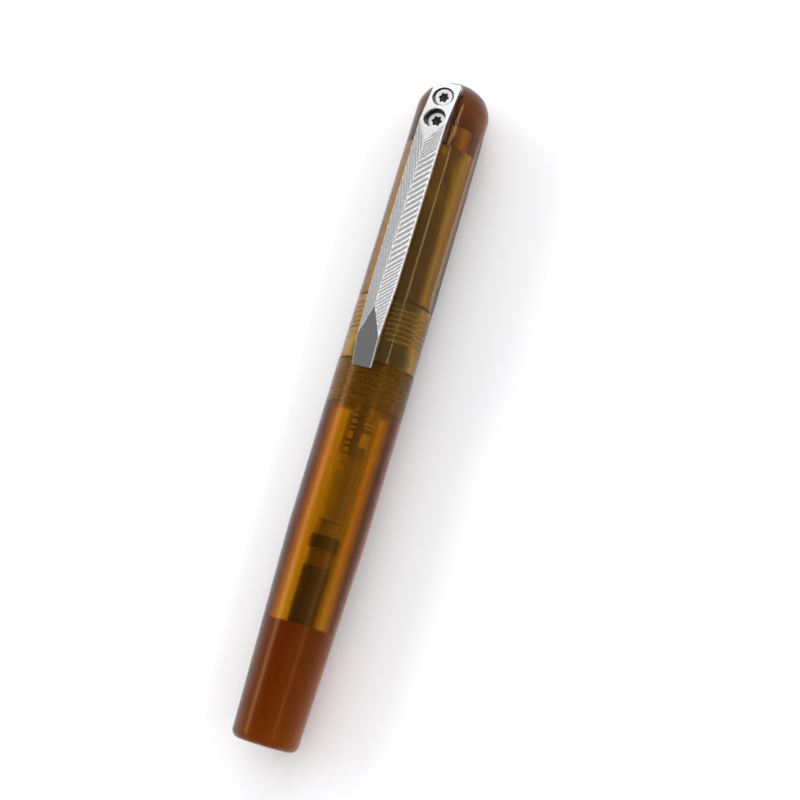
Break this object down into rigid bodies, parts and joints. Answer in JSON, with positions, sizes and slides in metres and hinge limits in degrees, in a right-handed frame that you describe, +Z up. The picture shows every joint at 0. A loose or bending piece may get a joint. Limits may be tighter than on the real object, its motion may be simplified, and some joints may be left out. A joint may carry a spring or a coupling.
{
  "type": "capped clip pen",
  "caption": "Slim round pen with a screw cap, a ridged metal pocket clip held by screws, a see-through screw barrel and a drop-in refill.",
  "frame": {"origin": "middle of the pen's length and width, on the surface that it lies on", "axes": "+Y along the pen towards the cap's crown, +Z up through the clip, +X to the right of the clip"},
  "size_m": [0.015, 0.133, 0.0187],
  "materials": {
    "cap_plastic": "polished translucent amber",
    "body_plastic": "satin translucent amber",
    "clip_metal": "milled titanium with fine diagonal tool marks",
    "screw_metal": "turned, bright",
    "seal_rubber": "matte black",
    "refill_plastic": "clear with printed bars",
    "ink": "wet black",
    "tip_metal": "plated, turned",
    "ball_metal": "polished",
    "plug_plastic": "black, satin"
  },
  "bodies": {
    "cap": {"cap": "cap_plastic", "clip_base": "clip_metal", "clip_screws": "screw_metal"},
    "clip_arm": {"clip_arm": "clip_metal"},
    "o_ring": {"cap_o_ring": "seal_rubber"},
    "section": {"section": "body_plastic"},
    "refill": {"refill_tube": "refill_plastic", "refill_ink": "ink", "refill_tip": "tip_metal", "refill_plug": "plug_plastic"},
    "ball": {"refill_ball": "ball_metal"},
    "barrel": {"barrel": "body_plastic"}
  },
  "joints": [
    {"name": "cap_travel", "type": "slide", "parent": "cap", "child": "o_ring", "axis": [0, -1, 0], "range_m": [0, 0.0525]},
    {"name": "cap_turn", "type": "hinge", "parent": "o_ring", "child": "section", "pos_m": [0, 0, 0.0075], "axis": [0, -1, 0], "range_deg": [0, 6300]},
    {"name": "barrel_travel", "type": "slide", "parent": "section", "child": "refill", "axis": [0, -1, 0], "range_m": [0, 0.0085]},
    {"name": "barrel_turn", "type": "hinge", "parent": "refill", "child": "barrel", "pos_m": [0, 0, 0.0075], "axis": [0, -1, 0], "range_deg": [0, 3060]},
    {"name": "ball_roll", "type": "hinge", "parent": "refill", "child": "ball", "pos_m": [0, 0.05465, 0.0075], "axis": [1, 0, 0], "continuous": true},
    {"name": "clip_flex", "type": "hinge", "parent": "cap", "child": "clip_arm", "pos_m": [0, 0.0512, 0.01845], "axis": [-1, 0, 0], "range_deg": [0, 2.5], "stiffness_Nm_per_rad": 0.3}
  ],
  "couplings": [
    {"joint": "cap_turn", "follows": "cap_travel", "rad_per_m": 2094.4},
    {"joint": "barrel_turn", "follows": "barrel_travel", "rad_per_m": 6283.2}
  ]
}
